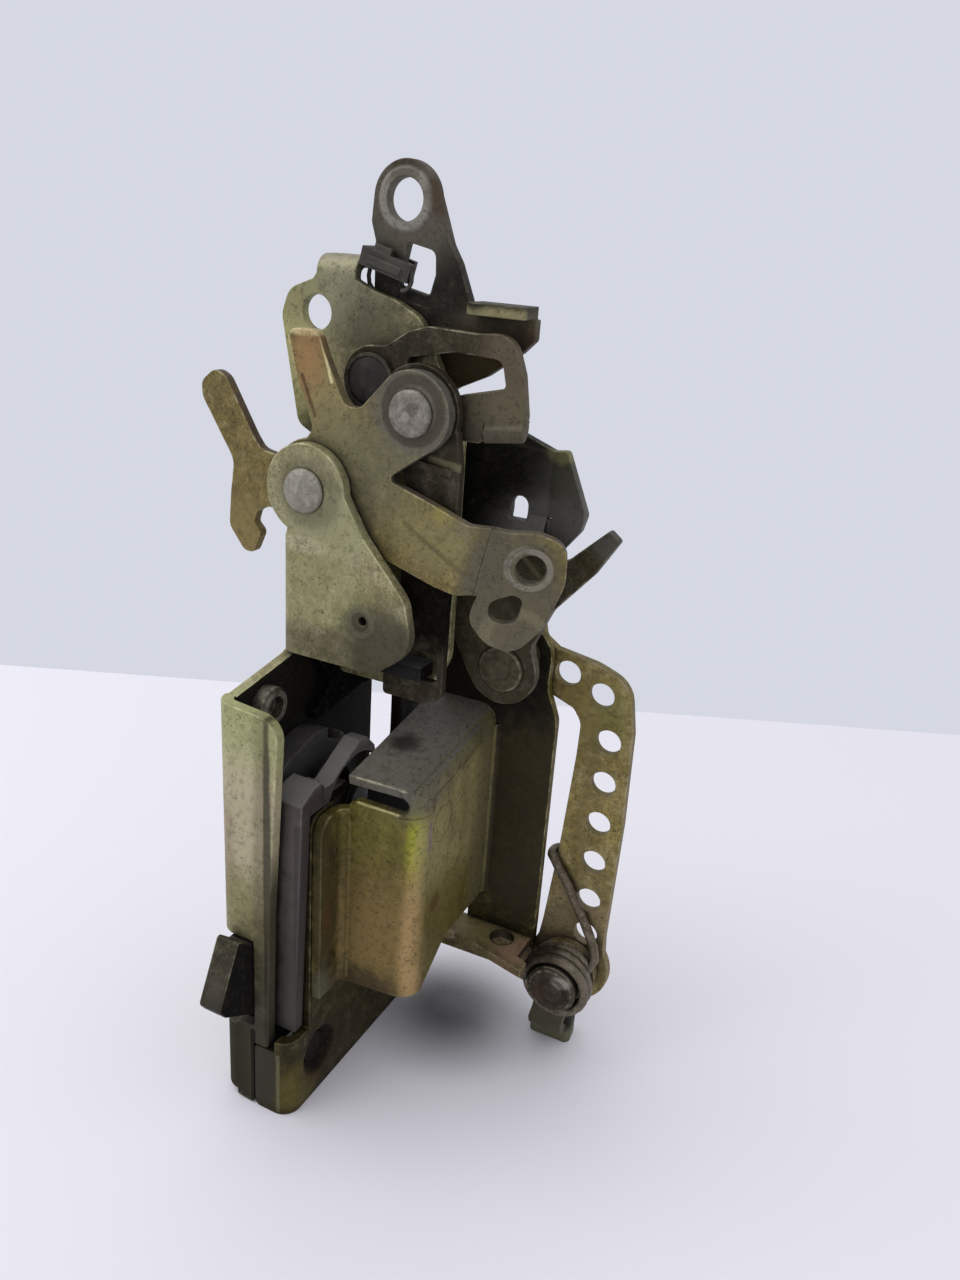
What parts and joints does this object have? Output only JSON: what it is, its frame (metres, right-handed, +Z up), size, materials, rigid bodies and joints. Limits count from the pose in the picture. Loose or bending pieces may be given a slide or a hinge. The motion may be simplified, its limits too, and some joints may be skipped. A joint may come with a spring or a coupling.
{
  "type": "car door lock",
  "caption": "Car door lock with a folded sheet frame, toothed catch, pawl, stacked flat levers on rivets, a guard cover and a sprung perforated arm.",
  "frame": {"origin": "centre of the lower screw hole on the outer face of the base plate", "axes": "+Z up along the lock's height, +X from the base plate across the levers, +Y from the front flange to the back edge"},
  "size_m": [0.0904, 0.0695, 0.1934],
  "materials": {
    "base_plate": "zinc coated, aged",
    "inner_plate": "zinc coated, aged",
    "guard_cover": "zinc coated, aged",
    "plastic_housing": "moulded, worn",
    "lever_plate": "zinc coated, aged",
    "channel_housing": "zinc coated, aged",
    "arm_bracket": "zinc coated, aged",
    "foot_pad": "dull",
    "catch": "zinc coated, aged",
    "catch_stud": "zinc coated, aged",
    "catch_spring": "zinc coated, aged",
    "pawl": "zinc coated, aged",
    "pawl_stud": "zinc coated, aged",
    "pawl_spring": "zinc coated, aged",
    "spring_post": "zinc coated, aged",
    "cross_lever": "zinc coated, aged",
    "ear_rivet": "zinc coated, aged",
    "cross_rivet": "zinc coated, aged",
    "spacer_disc": "zinc coated, aged",
    "strap_link": "zinc coated, aged",
    "window_lever": "zinc coated, aged",
    "handle_lever": "zinc coated, aged",
    "handle_stud": "zinc coated, aged",
    "rubber_bumper": "dull",
    "rod_clip": "zinc coated, aged",
    "tail_lever": "zinc coated, aged",
    "tail_stud": "zinc coated, aged",
    "perforated_arm": "zinc coated, aged",
    "arm_stud": "zinc coated, aged",
    "torsion_spring": "zinc coated, aged",
    "fixing_rivets": "zinc coated, aged"
  },
  "bodies": {
    "frame": {"base_plate": "base_plate", "inner_plate": "inner_plate", "guard_cover": "guard_cover", "plastic_housing": "plastic_housing", "lever_plate": "lever_plate", "channel_housing": "channel_housing", "arm_bracket": "arm_bracket", "foot_pad": "foot_pad", "catch_stud": "catch_stud", "catch_spring": "catch_spring", "pawl_stud": "pawl_stud", "pawl_spring": "pawl_spring", "spring_post": "spring_post", "ear_rivet": "ear_rivet", "handle_stud": "handle_stud", "rubber_bumper": "rubber_bumper", "tail_stud": "tail_stud", "arm_stud": "arm_stud", "torsion_spring": "torsion_spring", "fixing_rivets": "fixing_rivets"},
    "catch": {"catch": "catch"},
    "pawl": {"pawl": "pawl"},
    "cross_lever": {"cross_lever": "cross_lever", "cross_rivet": "cross_rivet", "spacer_disc": "spacer_disc"},
    "strap": {"strap_link": "strap_link"},
    "window_lever": {"window_lever": "window_lever"},
    "handle_lever": {"handle_lever": "handle_lever", "rod_clip": "rod_clip"},
    "tail_lever": {"tail_lever": "tail_lever"},
    "arm": {"perforated_arm": "perforated_arm"}
  },
  "joints": [
    {"name": "catch_turn", "type": "hinge", "parent": "frame", "child": "catch", "pos_m": [0.006, 0.012, 0.058], "axis": [1, 0, 0], "range_deg": [0, 22], "stiffness_Nm_per_rad": 0.3, "springref_deg": -34.38, "deforming": ["catch_spring"]},
    {"name": "cross_turn", "type": "hinge", "parent": "frame", "child": "cross_lever", "pos_m": [0.0064, 0.0136, 0.1229], "axis": [0, -1, 0], "range_deg": [0, 6]},
    {"name": "strap_turn", "type": "hinge", "parent": "cross_lever", "child": "strap", "pos_m": [0.0273, 0.0169, 0.1399], "axis": [0, -1, 0], "range_deg": [-6.5, 0]},
    {"name": "pawl_turn", "type": "hinge", "parent": "frame", "child": "pawl", "pos_m": [0.0046, 0.0355, 0.08], "axis": [-1, 0, 0], "range_deg": [0, 8], "deforming": ["pawl_spring"]},
    {"name": "handle_turn", "type": "hinge", "parent": "frame", "child": "handle_lever", "pos_m": [0.0145, 0.0257, 0.1436], "axis": [0, 1, 0], "range_deg": [0, 8]},
    {"name": "window_turn", "type": "hinge", "parent": "frame", "child": "window_lever", "pos_m": [0.0145, 0.0207, 0.1436], "axis": [0, 1, 0], "range_deg": [0, 8.5]},
    {"name": "tail_turn", "type": "hinge", "parent": "frame", "child": "tail_lever", "pos_m": [0.0424, 0.0286, 0.0885], "axis": [0, 1, 0], "range_deg": [-8, 8]},
    {"name": "arm_turn", "type": "hinge", "parent": "frame", "child": "arm", "pos_m": [0.0602, 0.0414, 0.0134], "axis": [0, 1, 0], "range_deg": [-5, 8], "stiffness_Nm_per_rad": 0.3, "deforming": ["torsion_spring"]}
  ],
  "couplings": [
    {"joint": "strap_turn", "follows": "cross_turn", "ratio": -1},
    {"joint": "pawl_turn", "follows": "cross_turn", "ratio": 1.25},
    {"joint": "window_turn", "follows": "handle_turn", "ratio": 1}
  ]
}
